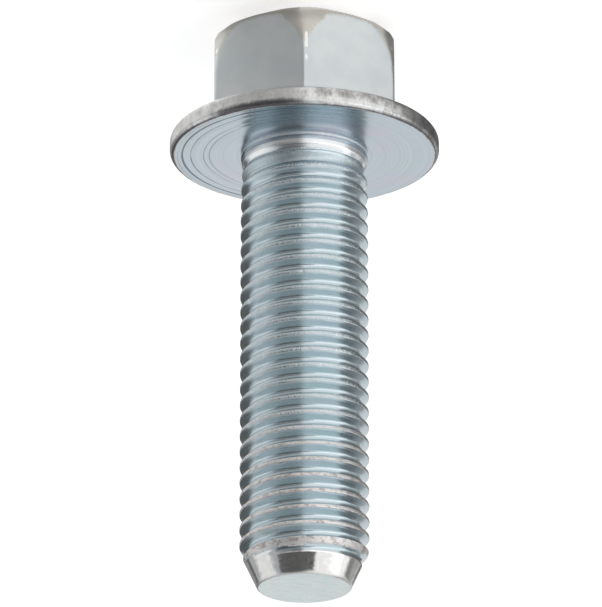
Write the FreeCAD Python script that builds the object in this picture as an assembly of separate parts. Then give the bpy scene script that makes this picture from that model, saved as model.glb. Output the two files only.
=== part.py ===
"""Flange bolt: a forged hexagon head with its flange, a neck with a collar ring, and a shank with a coned point.

The bolt stands on the crown of its head. The axis is +Z, the origin is the centre of the crown's flat top,
and the shank points up. Lengths are in millimetres and angles in degrees. The shank has the major diameter
of its thread, and the thread itself isn't cut.
"""

import FreeCAD, Part

import math
import os

from FreeCAD import Vector

# Hexagon and crown
ACROSS_FLATS = 13.8
HEX_CORNER_RADIUS = 0.35
HEX_ROOT_FILLET = 0.4
HEAD_HEIGHT = 10.7
CROWN_FLAT_DIAMETER = 8.2
CROWN_CONE_ANGLE = 30.0
CROWN_SHOULDER_RADIUS = 1.95
CROWN_WALL_CLEARANCE = 0.008

# Flange
FLANGE_DIAMETER = 20.7
RIM_THICKNESS = 1.55
RIM_BEARING_RADIUS = 0.4
RIM_TOP_RADIUS = 0.6
FLANGE_CONE_ANGLE = 22.0

# Neck and collar ring under the head
NECK_DIAMETER = 9.3
NECK_FILLET = 0.28
COLLAR_DIAMETER = 9.68
COLLAR_MIDDLE = 0.65
COLLAR_LAND = 0.3
COLLAR_FLANK_ANGLE = 45.0

# Shank and point
LENGTH_UNDER_HEAD = 35.0
SHANK_DIAMETER = 9.78
SHANK_START = 1.25
SHANK_LEAD_ANGLE = 30.0
POINT_END_DIAMETER = 7.06
POINT_CONE_ANGLE = 25.0

# Points closer than this are one point
COINCIDENT = 1e-7

BEARING_Z = HEAD_HEIGHT
TIP_Z = HEAD_HEIGHT + LENGTH_UNDER_HEAD
HEX_CORNER_REACH = ACROSS_FLATS / 2.0 / math.cos(math.radians(30.0))


def tangent(angle):
    """Tangent of an angle in degrees."""
    return math.tan(math.radians(angle))


def at(radius, height):
    """Point of a turned profile, in the XZ plane."""
    return Vector(radius, 0.0, height)


def around(centre, arc_radius, angle):
    """Point on a profile arc, at an angle from the outward direction."""
    turn = math.radians(angle)
    return centre + at(arc_radius * math.cos(turn), arc_radius * math.sin(turn))


def arc(centre, arc_radius, start_angle, end_angle):
    """Arc of a turned profile between two angles."""
    middle_angle = (start_angle + end_angle) / 2.0
    angles = (start_angle, middle_angle, end_angle)
    return Part.Arc(*[around(centre, arc_radius, angle) for angle in angles]).toShape()


def rounding(centre, arc_radius, start_angle, end_angle):
    """Rounded stretch of a turned profile, as two equal arcs."""
    middle_angle = (start_angle + end_angle) / 2.0
    first = arc(centre, arc_radius, start_angle, middle_angle)
    second = arc(centre, arc_radius, middle_angle, end_angle)
    return [first, second]


def ends(piece):
    """First and last point of a profile's piece, which is a point or an arc."""
    if isinstance(piece, Vector):
        return piece, piece
    return piece.Vertexes[0].Point, piece.Vertexes[-1].Point


def turned(pieces):
    """Solid turned about the axis from a closed profile of points and arcs, joined by straight edges."""
    edges = []
    for piece, follower in zip(pieces, pieces[1:] + pieces[:1]):
        if not isinstance(piece, Vector):
            edges.append(piece)
        start = ends(piece)[1]
        end = ends(follower)[0]
        if not start.isEqual(end, COINCIDENT):
            edges.append(Part.makeLine(start, end))
    return Part.Face(Part.Wire(edges)).revolve(Vector(0, 0, 0), Vector(0, 0, 1), 360.0)


def crown_form():
    """Turned form that limits the hexagon: flat top, cone, and a shoulder rounded into a wall at the corners."""
    flat_radius = CROWN_FLAT_DIAMETER / 2.0
    wall_radius = HEX_CORNER_REACH + CROWN_WALL_CLEARANCE
    outward = CROWN_CONE_ANGLE - 90.0
    drop = around(at(0, 0), CROWN_SHOULDER_RADIUS, outward)
    centre_radius = wall_radius - CROWN_SHOULDER_RADIUS
    cone_z = (centre_radius + drop.x - flat_radius) * tangent(CROWN_CONE_ANGLE)
    shoulder = rounding(at(centre_radius, cone_z - drop.z), CROWN_SHOULDER_RADIUS, outward, 0.0)
    return turned([at(0, 0), at(flat_radius, 0), *shoulder, at(wall_radius, BEARING_Z), at(0, BEARING_Z)])


def hexagon():
    """Hexagonal prism with rounded upright corners, two of them on the Y axis."""
    corners = []
    for index in range(6):
        turn = math.radians(30.0 + 60.0 * index)
        corners.append(Vector(HEX_CORNER_REACH * math.cos(turn), HEX_CORNER_REACH * math.sin(turn), 0.0))
    outline = Part.Face(Part.makePolygon(corners + corners[:1]))
    prism = outline.extrude(Vector(0, 0, BEARING_Z - RIM_THICKNESS / 2.0))
    uprights = [edge for edge in prism.Edges if edge.BoundBox.ZLength > RIM_THICKNESS]
    return prism.makeFillet(HEX_CORNER_RADIUS, uprights)


def flange():
    """Turned flange: flat bearing face, rounded rim and a shallow cone that rises to the hexagon."""
    rim_radius = FLANGE_DIAMETER / 2.0
    bearing_centre = at(rim_radius - RIM_BEARING_RADIUS, BEARING_Z - RIM_BEARING_RADIUS)
    top_centre = at(rim_radius - RIM_TOP_RADIUS, BEARING_Z - RIM_THICKNESS + RIM_TOP_RADIUS)
    outward = FLANGE_CONE_ANGLE - 90.0
    cone_end = around(top_centre, RIM_TOP_RADIUS, outward)
    core_radius = ACROSS_FLATS / 4.0
    core_z = cone_end.z - (cone_end.x - core_radius) * tangent(FLANGE_CONE_ANGLE)
    rim_top = rounding(top_centre, RIM_TOP_RADIUS, outward, 0.0)
    rim_bearing = rounding(bearing_centre, RIM_BEARING_RADIUS, 0.0, 90.0)
    return turned([at(0, core_z), at(core_radius, core_z), *rim_top, *rim_bearing, at(0, BEARING_Z)])


def meets_flange(edge):
    """Whether an edge of the head is where a side of the hexagon meets the flange's cone."""
    middle = edge.CenterOfMass
    reach = math.hypot(middle.x, middle.y)
    on_side = ACROSS_FLATS / 2.0 - HEX_CORNER_RADIUS < reach < HEX_CORNER_REACH
    rim_top_z = BEARING_Z - RIM_THICKNESS
    cone_rise = (FLANGE_DIAMETER - ACROSS_FLATS) / 2.0 * tangent(FLANGE_CONE_ANGLE)
    return on_side and rim_top_z - cone_rise < middle.z < rim_top_z and edge.BoundBox.ZLength < cone_rise


def head():
    """Forged head: the hexagon under its crown, blended into the flange by a small fillet."""
    body = hexagon().common(crown_form()).fuse(flange())
    seam = [edge for edge in body.Edges if meets_flange(edge)]
    return body.makeFillet(HEX_ROOT_FILLET, seam)


def shank():
    """Turned shank: filleted neck, collar ring, plain length at the thread's major diameter, coned point."""
    neck_radius = NECK_DIAMETER / 2.0
    collar_radius = COLLAR_DIAMETER / 2.0
    shank_radius = SHANK_DIAMETER / 2.0
    point_radius = POINT_END_DIAMETER / 2.0
    root_z = BEARING_Z - RIM_THICKNESS / 2.0
    fillet_centre = at(neck_radius + NECK_FILLET, BEARING_Z + NECK_FILLET)
    collar_low = BEARING_Z + COLLAR_MIDDLE - COLLAR_LAND / 2.0
    collar_high = collar_low + COLLAR_LAND
    collar_rise = (collar_radius - neck_radius) * tangent(COLLAR_FLANK_ANGLE)
    start_z = BEARING_Z + SHANK_START
    lead = (shank_radius - neck_radius) * tangent(SHANK_LEAD_ANGLE)
    cone_z = TIP_Z - (shank_radius - point_radius) / tangent(POINT_CONE_ANGLE)
    profile = [
        at(0, root_z),
        at(fillet_centre.x, root_z),
        *rounding(fillet_centre, NECK_FILLET, 270.0, 180.0),
        at(neck_radius, collar_low - collar_rise),
        at(collar_radius, collar_low),
        at(collar_radius, collar_high),
        at(neck_radius, collar_high + collar_rise),
        at(neck_radius, start_z),
        at(shank_radius, start_z + lead),
        at(shank_radius, cone_z),
        at(point_radius, TIP_Z),
        at(0, TIP_Z),
    ]
    return turned(profile)


def flange_bolt():
    """The whole bolt as one solid."""
    return head().fuse(shank()).Solids[0]


def main():
    """Write the bolt's solid."""
    os.makedirs("parts", exist_ok=True)
    flange_bolt().exportStep("parts/flange_bolt.step")


main()
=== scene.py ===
"""Looks of a zinc-plated flange bolt that stands on the crown of its head.

One closed mesh takes the place of the plain solid: a forged hexagon head on its flange, a neck with a collar
ring, a rolled thread that fades in under the head, and a coned point. Sizes in the classes are millimetres,
angles are degrees, and turns are counted about the bolt's axis from +X.
"""

import logging
import math
from dataclasses import dataclass
from enum import Enum
from typing import Union

import bpy
import numpy as np
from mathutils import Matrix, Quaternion, Vector


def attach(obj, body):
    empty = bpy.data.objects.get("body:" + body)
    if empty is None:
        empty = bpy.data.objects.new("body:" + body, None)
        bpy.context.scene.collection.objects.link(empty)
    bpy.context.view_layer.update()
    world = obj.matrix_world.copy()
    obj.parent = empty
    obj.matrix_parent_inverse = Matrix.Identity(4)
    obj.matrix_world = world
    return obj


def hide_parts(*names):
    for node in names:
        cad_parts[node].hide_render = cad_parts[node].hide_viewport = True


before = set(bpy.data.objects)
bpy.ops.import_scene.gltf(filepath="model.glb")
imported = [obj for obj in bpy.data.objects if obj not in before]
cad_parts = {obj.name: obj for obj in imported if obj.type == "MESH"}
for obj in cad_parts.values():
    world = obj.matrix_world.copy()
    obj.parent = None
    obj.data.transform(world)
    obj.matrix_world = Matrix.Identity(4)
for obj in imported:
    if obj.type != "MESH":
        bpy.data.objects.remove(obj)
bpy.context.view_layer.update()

Point = tuple[float, float]
Triple = tuple[float, float, float]
Socket = bpy.types.NodeSocket
Source = Union[Socket, float, tuple]

MM = 0.001
log = logging.getLogger("flange_bolt")

# Columns of the turned and swept meshes
COLUMNS = 144
COLUMN_STEP = 360.0 / COLUMNS
SEXTANTS = 6
SEXTANT = 360.0 / SEXTANTS
HALF_SEXTANT = SEXTANT / 2.0

# Where the head, thread and point meet
BEARING_HEIGHT = 10.7
WAIST_HEIGHT = 11.9
WAIST_RADIUS = 4.53
CONE_SEAM_HEIGHT = 45.1
TIP_HEIGHT = 45.7
TIP_RADIUS = 3.53
TIP_ANGLE = 25.0

# Vertices closer than this are one, in metres, and heights closer than this are equal, in millimetres
COINCIDENT = 1e-7
TOUCHING = 1e-6


class Region(Enum):
    """Stretches of the surface, each with a finish of its own."""

    HEXAGON = 0
    RIM = 1
    BEARING = 2
    SHANK = 3
    POINT = 4
    END = 5


class Stretch(Enum):
    """Stretches of the forging's upright section, from the middle of the crown to the flange's rim."""

    FLAT = 0
    FLAT_EDGE = 1
    CROWN = 2
    EDGE = 3
    SIDE = 4
    FILLET = 5
    CONE = 6


def deselect_all() -> None:
    """Leave edit mode and select nothing."""
    if bpy.context.object is not None and bpy.context.object.mode != "OBJECT":
        bpy.ops.object.mode_set(mode="OBJECT")
    bpy.ops.object.select_all(action="DESELECT")


def activate(obj: bpy.types.Object) -> None:
    """Select one object alone and make it the active one.

    Args:
        obj: The object to work on.
    """
    deselect_all()
    obj.select_set(True)
    bpy.context.view_layer.objects.active = obj


def edit_whole() -> None:
    """Enter edit mode on the active object, with all of it selected."""
    bpy.ops.object.mode_set(mode="EDIT")
    bpy.ops.mesh.select_all(action="SELECT")


def draw_profile(name: str, points: list[Point]) -> bpy.types.Object:
    """Draw an open profile in the XZ plane by extruding one point along it.

    Args:
        name: Name of the new object.
        points: Radius and height of each point, in millimetres.

    Returns:
        The profile, with each vertex's place in the row kept in the attribute "row".
    """
    deselect_all()
    bpy.ops.mesh.primitive_plane_add(size=MM, location=(0.0, 0.0, 0.0))
    obj = bpy.context.object
    obj.name = name
    edit_whole()
    bpy.ops.mesh.merge(type="CENTER")
    places = [Vector((radius * MM, 0.0, height * MM)) for radius, height in points]
    bpy.ops.transform.translate(value=places[0])
    for start, end in zip(places, places[1:]):
        bpy.ops.mesh.extrude_region_move(TRANSFORM_OT_translate={"value": end - start})
    bpy.ops.object.mode_set(mode="OBJECT")
    rows = obj.data.attributes.new("row", "INT", "POINT")
    wanted = np.array([tuple(place) for place in places])
    distances = np.linalg.norm(read_points(obj)[:, None, :] - wanted[None, :, :], axis=2)
    rows.data.foreach_set("value", distances.argmin(axis=1).astype(np.int32))
    return obj


def spin_profile(obj: bpy.types.Object) -> None:
    """Turn a profile once round the bolt's axis into a closed shell.

    Args:
        obj: The profile's object.
    """
    activate(obj)
    edit_whole()
    bpy.ops.mesh.spin(steps=COLUMNS, angle=2.0 * math.pi, center=(0.0, 0.0, 0.0), axis=(0.0, 0.0, 1.0))
    bpy.ops.mesh.select_all(action="SELECT")
    bpy.ops.mesh.remove_doubles(threshold=COINCIDENT)
    bpy.ops.object.mode_set(mode="OBJECT")


def read_points(obj: bpy.types.Object) -> np.ndarray:
    """Read the places of an object's vertices.

    Args:
        obj: The mesh object.

    Returns:
        One row for each vertex, in metres.
    """
    points = np.zeros(len(obj.data.vertices) * 3)
    obj.data.vertices.foreach_get("co", points)
    return points.reshape(-1, 3)


def write_points(obj: bpy.types.Object, points: np.ndarray) -> None:
    """Put an object's vertices at new places.

    Args:
        obj: The mesh object.
        points: One row for each vertex, in metres.
    """
    obj.data.vertices.foreach_set("co", points.astype(np.float32).ravel())
    obj.data.update()


def mark_points(obj: bpy.types.Object, name: str, values: np.ndarray) -> None:
    """Keep a number for each vertex in a new attribute.

    Args:
        obj: The mesh object.
        name: Name of the attribute.
        values: One number for each vertex.
    """
    layer = obj.data.attributes.new(name, "FLOAT", "POINT")
    layer.data.foreach_set("value", values.astype(np.float32))


def read_marks(obj: bpy.types.Object, name: str, kind: type = np.float32) -> np.ndarray:
    """Read the numbers that an attribute keeps for the vertices.

    Args:
        obj: The mesh object.
        name: Name of the attribute.
        kind: Type of its numbers.

    Returns:
        One number for each vertex.
    """
    values = np.zeros(len(obj.data.vertices), dtype=kind)
    obj.data.attributes[name].data.foreach_get("value", values)
    return values


def rounded(start: Point, corner: Point, end: Point, share: float) -> Point:
    """Return a point on the curve that rounds a corner of a profile.

    Args:
        start: Where the curve leaves the first line.
        corner: Where the two lines would meet.
        end: Where the curve joins the second line.
        share: Share of the way along the curve.

    Returns:
        Radius and height of the point.
    """
    first, middle, last = (1.0 - share) ** 2, 2.0 * share * (1.0 - share), share**2
    radius, height = (first * a + middle * b + last * c for a, b, c in zip(start, corner, end))
    return radius, height


def smooth_step(low: float, high: float, value: "np.ndarray | float") -> "np.ndarray | float":
    """Return 0 below low and 1 above high, with an even passage between them."""
    share = np.clip((value - low) / (high - low), 0.0, 1.0)
    return share * share * (3.0 - 2.0 * share)


def turned_apart(turn: float, other: float) -> float:
    """Return the angle between two directions about the axis, from 0 to 180 degrees."""
    return abs((turn - other + 180.0) % 360.0 - 180.0)


def cone_radius(height: "np.ndarray | float") -> "np.ndarray | float":
    """Return the radius of the point's cone at a height."""
    return TIP_RADIUS + (TIP_HEIGHT - height) * math.tan(math.radians(TIP_ANGLE))


def arc_points(centre: Point, radius: float, start: float, end: float, count: int) -> list[Point]:
    """Return points on an arc of a profile.

    Args:
        centre: Radius and height of the arc's centre.
        radius: The arc's radius.
        start: First angle from the outward direction, in degrees.
        end: Last angle, in degrees.
        count: How many points.

    Returns:
        Radius and height of each point.
    """
    turns = [math.radians(start + (end - start) * i / (count - 1)) for i in range(count)]
    return [(centre[0] + radius * math.cos(turn), centre[1] + radius * math.sin(turn)) for turn in turns]


@dataclass(frozen=True)
class HeadVertex:
    """Where a vertex of the head goes, and how its surface is finished."""

    radius: float
    height: float
    turn: float
    worn: float = 0.0
    rubbed: float = 0.0
    region: Region = Region.HEXAGON

    def place(self) -> Triple:
        """Return the vertex's place, in millimetres."""
        bend = math.radians(self.turn)
        return self.radius * math.cos(bend), self.radius * math.sin(bend), self.height


@dataclass
class ForgedHead:
    """Hexagon under its crown, blended into the flange, down to the waist of the neck."""

    # Hexagon, whose corners grow rounder towards the crown
    across_flats: float = 13.8
    corner_radius: float = 0.32
    corner_growth: float = 2.74
    growth_power: float = 3.2
    growth_start: float = 6.4
    growth_end: float = 2.4
    root_fillet: float = 0.45
    edge_rounding: float = 0.28
    half_sextant: tuple[float, ...] = (0.0, 0.7, 1.5, 2.4, 3.5, 4.8, 6.4, 8.4, 10.9, 14.0, 18.0, 23.4, 30.0)
    # Turned crown that limits it
    crown_flat_radius: float = 4.1
    crown_cone_angle: float = 27.0
    crown_cone_radius: float = 6.95
    crown_shoulder_radius: float = 0.62
    crown_shoulder_limit: float = 0.9999
    # Flange
    flange_radius: float = 10.35
    flange_cone_angle: float = 22.0
    rim_thickness: float = 1.55
    rim_top_radius: float = 0.6
    rim_bearing_radius: float = 0.4
    rim_share: float = 0.7
    # Grooves of the bearing face: radius where it is deepest, depth, and width of the inner wall
    grooves: tuple[Triple, ...] = (
        (9.76, 0.018, 0.055),
        (9.375, 0.04, 0.12),
        (8.715, 0.024, 0.07),
        (7.735, 0.018, 0.055),
        (7.285, 0.018, 0.055),
    )
    groove_slope_width: float = 0.2
    groove_depth: float = 0.03
    least_groove: float = 0.15
    # Painted shade in the grooves: its least share, with more where they are deeper
    least_groove_shade: float = 0.3
    bearing_ring: float = 5.6
    # Neck: widths of the rings round it, and radius and height above the bearing face of the collar's outline
    neck_radius: float = 4.72
    neck_rings: tuple[float, ...] = (0.16, 0.1)
    neck_margin: float = 0.12
    collar: tuple[Point, ...] = (
        (4.72, 0.015),
        (4.73, 0.06),
        (4.77, 0.1),
        (4.83, 0.15),
        (4.87, 0.2),
        (4.882, 0.26),
        (4.88, 0.33),
        (4.864, 0.43),
        (4.844, 0.54),
        (4.824, 0.65),
        (4.804, 0.76),
        (4.786, 0.85),
        (4.755, 0.91),
        (4.7, 0.98),
        (4.64, 1.055),
        (4.58, 1.13),
        (4.548, 1.17),
    )
    # Dings in the upright corners: turn, height, half length and depth
    dings: tuple[tuple[float, float, float, float], ...] = (
        (-91.3, 4.1, 0.55, 0.04),
        (-91.0, 4.75, 0.3, 0.03),
        (-91.0, 5.67, 0.14, 0.03),
        (-30.0, 3.6, 0.3, 0.04),
        (-150.0, 3.4, 0.25, 0.05),
        (-150.0, 5.1, 0.3, 0.03),
        (30.0, 4.2, 0.4, 0.05),
        (90.0, 3.9, 0.3, 0.04),
        (90.0, 5.3, 0.2, 0.05),
        (150.0, 4.6, 0.35, 0.04),
    )
    ding_half_angle: float = 1.1
    ding_bareness: float = 1.5
    # Wear of the hexagon, from 0 to 1
    side_corner_wear: float = 0.62
    corner_fade: Point = (0.8, 1.1)
    worn_roundings: Point = (0.3, 1.0)
    edge_fade: float = 0.6
    side_top_share: float = 0.05
    side_top_wear: float = 0.25
    # Patches round the rim: turn, half width and strength. The shades are painted shade, the grime is grime
    # with painted shade in its strongest patch, and the stains are stains
    painted_shades: tuple[Triple, ...] = ((-160.0, 31.0, 0.68), (50.0, 30.0, 0.5))
    grime_and_shade: tuple[Triple, ...] = (
        (-128.0, 48.0, 0.66),
        (-60.0, 8.0, 0.3),
        (40.0, 25.0, 0.5),
        (110.0, 14.0, 0.35),
    )
    stains: tuple[Triple, ...] = (
        (-68.0, 26.0, 1.0),
        (-128.0, 10.0, 0.5),
        (-20.0, 12.0, 0.45),
        (24.0, 16.0, 0.7),
        (82.0, 24.0, 0.8),
        (141.0, 14.0, 0.6),
    )
    least_soil: float = 0.12
    # Distances below the bearing face over which stains and the dark line fade out, and the grime and its
    # painted shade set in
    stain_fade: Point = (0.2, 0.8)
    line_fade: Point = (0.03, 0.14)
    grime_and_shade_fade: Point = (0.3, 0.8)

    def corner_rounding(self, height: float) -> float:
        """Return the radius of the hexagon's upright corners, which grow rounder towards the crown."""
        share = (self.growth_start - height) / (self.growth_start - self.growth_end)
        return self.corner_radius + self.corner_growth * min(max(share, 0.0), 1.0) ** self.growth_power

    def corner_limit(self, height: float) -> float:
        """Return the half angle that a rounded corner takes.

        Args:
            height: Height above the crown's flat.

        Returns:
            The half angle about the axis.
        """
        rounding = self.corner_rounding(height)
        lean = math.radians(HALF_SEXTANT)
        centre = (self.across_flats / 2.0 - rounding) / math.cos(lean)
        return math.degrees(math.atan2(rounding * math.sin(lean), centre + rounding * math.cos(lean)))

    def hexagon_radius(self, turn: float, height: float) -> float:
        """Return the reach of the hexagon.

        Args:
            turn: Angle about the axis, 0 at the middle of a side.
            height: Height above the crown's flat.

        Returns:
            The distance from the axis to the outline.
        """
        rounding = self.corner_rounding(height)
        from_corner = turn % SEXTANT - HALF_SEXTANT
        flat = self.across_flats / 2.0
        if abs(from_corner) >= self.corner_limit(height):
            return flat / math.cos(math.radians(HALF_SEXTANT - abs(from_corner)))
        centre = (flat - rounding) / math.cos(math.radians(HALF_SEXTANT))
        bend = math.radians(from_corner)
        return centre * math.cos(bend) + math.sqrt(rounding**2 - (centre * math.sin(bend)) ** 2)

    def crown_height(self, radius: float) -> float:
        """Return the height of the turned crown's cone, or of its rounded shoulder further out.

        Args:
            radius: Distance from the axis.

        Returns:
            The height above the crown's flat.
        """
        lean = math.radians(self.crown_cone_angle)
        if radius < self.crown_cone_radius:
            return (radius - self.crown_flat_radius) * math.tan(lean)
        shoulder = self.crown_shoulder_radius
        cone_height = (self.crown_cone_radius - self.crown_flat_radius) * math.tan(lean)
        past_centre = radius - (self.crown_cone_radius - shoulder * math.sin(lean))
        reach = min(past_centre, self.crown_shoulder_limit * shoulder)
        return cone_height + shoulder * math.cos(lean) - math.sqrt(shoulder**2 - reach**2)

    def rim_top_centre(self) -> Point:
        """Return the centre of the rim's rounding on the hexagon's side."""
        rounding = self.rim_top_radius
        return self.flange_radius - rounding, BEARING_HEIGHT - self.rim_thickness + rounding

    def rim_top(self, count: int) -> list[Point]:
        """Return points along the rim's rounding on the hexagon's side, from the flange's cone outwards."""
        cone_end = self.flange_cone_angle - 90.0
        return arc_points(self.rim_top_centre(), self.rim_top_radius, cone_end, 0.0, count)

    def turned_rows(self) -> list[Point]:
        """Draw the profile from the flange's rim, over the bearing face and neck, to the waist.

        Returns:
            Radius and height of each row.
        """
        points = self.rim_top(7)
        rounding = self.rim_bearing_radius
        bearing_centre = (self.flange_radius - rounding, BEARING_HEIGHT - rounding)
        points.append((self.flange_radius, (points[-1][1] + bearing_centre[1]) / 2.0))
        points += arc_points(bearing_centre, rounding, 0.0, 90.0, 6)
        for ring, depth, width in self.grooves:
            points.append((ring + self.groove_slope_width, BEARING_HEIGHT))
            points.append((ring, BEARING_HEIGHT - depth))
            points.append((ring - width, BEARING_HEIGHT))
        points.append((self.bearing_ring, BEARING_HEIGHT))
        points += [(self.neck_radius + gap, BEARING_HEIGHT) for gap in self.neck_rings]
        points += [(radius, BEARING_HEIGHT + rise) for radius, rise in self.collar]
        return points + [(WAIST_RADIUS, WAIST_HEIGHT)]

    def pressed_rows(self) -> list[tuple[Stretch, float]]:
        """List the rows of the hexagon.

        Returns:
            For each row, the stretch of the forging and the share of the way along it.
        """
        shares = {
            Stretch.FLAT: (0.0, 0.35, 0.7, 0.96),
            Stretch.FLAT_EDGE: (0.3, 0.65, 1.0),
            Stretch.CROWN: (0.2, 0.4, 0.6, 0.8),
            Stretch.EDGE: (0.0, 0.2, 0.4, 0.6, 0.8, 1.0),
            Stretch.SIDE: (0.03, 0.06, *(0.09 + 0.03 * i for i in range(16)), 0.62, 0.74, 0.87),
            Stretch.FILLET: (0.0, 0.2, 0.4, 0.6, 0.8, 1.0),
            Stretch.CONE: (0.2, 0.4, 0.6, 0.8, 0.95),
        }
        return [(stretch, share) for stretch, row in shares.items() for share in row]

    def pressed_point(self, stretch: Stretch, share: float, turn: float) -> Point:
        """Return a point of the forging's upright section.

        Args:
            stretch: Stretch of the section that the point is on.
            share: Share of the way along the stretch.
            turn: Angle of the section about the axis.

        Returns:
            Radius and height of the point.
        """
        flat, edge = self.crown_flat_radius, self.edge_rounding
        if stretch is Stretch.FLAT:
            return (flat - edge) * share, 0.0
        if stretch is Stretch.FLAT_EDGE:
            after = (flat + edge, self.crown_height(flat + edge))
            return rounded((flat - edge, 0.0), (flat, 0.0), after, share)
        if stretch in (Stretch.FILLET, Stretch.CONE):
            return self.root_point(stretch, share, turn)
        reach, top = self.hexagon_top(turn)
        if stretch is Stretch.CROWN:
            radius = flat + edge + (reach - 2.0 * edge - flat) * share
            return radius, self.crown_height(radius)
        side_top = top + edge
        if stretch is Stretch.EDGE:
            before = (reach - edge, self.crown_height(reach - edge))
            after = (self.hexagon_radius(turn, side_top), side_top)
            return rounded(before, (reach, top), after, share)
        side_foot = self.root_point(Stretch.FILLET, 0.0, turn)[1]
        height = side_top + (side_foot - side_top) * share
        return self.hexagon_radius(turn, height), height

    def hexagon_top(self, turn: float) -> Point:
        """Find where the side of the hexagon meets the crown.

        Args:
            turn: Angle about the axis.

        Returns:
            Radius and height of the meeting point.
        """
        top = self.growth_end
        for _ in range(20):
            reach = self.hexagon_radius(turn, top)
            top = (top + self.crown_height(reach)) / 2.0
        return reach, top

    def root_point(self, stretch: Stretch, share: float, turn: float) -> Point:
        """Return a point of the fillet at the hexagon's foot, or of the flange's cone beside it.

        Args:
            stretch: The fillet or the cone.
            share: Share of the way along the stretch.
            turn: Angle of the section about the axis.

        Returns:
            Radius and height of the point.
        """
        end = self.rim_top(2)[0]
        slope = math.tan(math.radians(self.flange_cone_angle))
        reach = self.hexagon_radius(turn, BEARING_HEIGHT)
        foot = end[1] - (end[0] - reach) * slope
        beside = (reach + self.root_fillet, foot + self.root_fillet * slope)
        if stretch is Stretch.FILLET:
            return rounded((reach, foot - self.root_fillet), (reach, foot), beside, share)
        return beside[0] + (end[0] - beside[0]) * share, beside[1] + (end[1] - beside[1]) * share

    def forged_turn(self, column: int) -> float:
        """Return the angle of a column in the hexagon, where the columns crowd towards the corners.

        Args:
            column: The column's number about the axis.

        Returns:
            The angle about the axis.
        """
        half = COLUMNS // SEXTANTS // 2
        sextant, place = divmod(column + half, 2 * half)
        corner = SEXTANT * sextant - HALF_SEXTANT
        if place <= half:
            return corner + self.half_sextant[place]
        return corner + SEXTANT - self.half_sextant[2 * half - place]

    def build(self) -> bpy.types.Object:
        """Turn the head's blank, then press the hexagon into it.

        Returns:
            The head's shell, open at the waist of the neck.
        """
        pressed, turned = self.pressed_rows(), self.turned_rows()
        head = draw_profile("head_blank", [self.pressed_point(*row, 0.0) for row in pressed] + turned)
        spin_profile(head)
        points = read_points(head)
        turns = np.degrees(np.arctan2(points[:, 1], points[:, 0]))
        columns = np.round(turns / COLUMN_STEP).astype(int) % COLUMNS
        vertices = []
        for row, column in zip(read_marks(head, "row", np.int32).tolist(), columns.tolist()):
            if row < len(pressed):
                vertices.append(self.forged_vertex(*pressed[row], column))
            else:
                vertices.append(self.turned_vertex(*turned[row - len(pressed)], column * COLUMN_STEP))
        write_points(head, np.array([vertex.place() for vertex in vertices]) * MM)
        mark_points(head, "worn", np.array([vertex.worn for vertex in vertices]))
        mark_points(head, "rubbed", np.array([vertex.rubbed for vertex in vertices]))
        mark_points(head, "region", np.array([vertex.region.value for vertex in vertices]))
        return head

    def forged_vertex(self, stretch: Stretch, share: float, column: int) -> HeadVertex:
        """Return where a vertex of the forging goes.

        Args:
            stretch: Stretch of the forging that it is on.
            share: Share of the way along the stretch.
            column: Its column's number about the axis.

        Returns:
            The vertex, whose turn goes back to the even columns along the flange's cone.
        """
        forged, even = self.forged_turn(column), column * COLUMN_STEP
        radius, height = self.pressed_point(stretch, share, forged)
        worn, rubbed = self.wear_of(stretch, share, forged, height), 0.0
        if stretch is Stretch.SIDE:
            radius, rubbed = self.knocked(radius, height, forged)
        keep = 1.0 - share if stretch is Stretch.CONE else 1.0
        return HeadVertex(radius, height, even + (forged - even) * keep, worn, rubbed)

    def turned_vertex(self, radius: float, height: float, turn: float) -> HeadVertex:
        """Return where a vertex of the turned part goes, with the grooves deepest towards +X.

        Args:
            radius: Its distance from the axis.
            height: Its height above the crown's flat.
            turn: Its angle about the axis.

        Returns:
            The vertex.
        """
        worn = 0.0
        for ring, depth, _ in self.grooves:
            if radius == ring:
                towards_x = math.cos(math.radians(turn / 2.0)) ** 2
                share = self.least_groove + (1.0 - self.least_groove) * towards_x
                height = BEARING_HEIGHT - depth * share
                # Painted shade in the groove, darker where it is deeper
                worn = share * (self.least_groove_shade + depth / self.groove_depth)
        region = self.region_of(radius, height)
        if region is Region.RIM:
            # On the rim, the worn mark holds stains, grime and painted shade
            worn = self.soil_and_shade_at(turn, BEARING_HEIGHT - height)
        return HeadVertex(radius, height, turn, worn, 0.0, region)

    def corner_wear(self, turn: float, height: float) -> float:
        """Return how worn the corners are, where the two on the Y axis are worn most.

        Args:
            turn: Angle about the axis.
            height: Height above the crown's flat.

        Returns:
            The wear, from 0 on the sides to 1 at the crown.
        """
        near, far = (share * self.corner_limit(height) for share in self.corner_fade)
        strength = 1.0 - smooth_step(near, far, abs(turn % SEXTANT - HALF_SEXTANT))
        on_y_axis = round((turn - HALF_SEXTANT) / SEXTANT) % 3 == 1
        if not on_y_axis:
            strength *= self.side_corner_wear
        return float(strength * smooth_step(*self.worn_roundings, self.corner_rounding(height)))

    def wear_of(self, stretch: Stretch, share: float, turn: float, height: float) -> float:
        """Return how worn a point of the forging is.

        Args:
            stretch: Stretch of the forging that it is on.
            share: Share of the way along the stretch.
            turn: Angle about the axis.
            height: Height above the crown's flat.

        Returns:
            The wear, from 0 to 1.
        """
        if stretch in (Stretch.FLAT, Stretch.FLAT_EDGE, Stretch.CROWN):
            return 1.0
        if stretch is Stretch.EDGE:
            return max(self.corner_wear(turn, height), 1.0 - self.edge_fade * share**2)
        if stretch is Stretch.SIDE:
            least = self.side_top_wear if share < self.side_top_share else 0.0
            return max(self.corner_wear(turn, height), least)
        return 0.0

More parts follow.
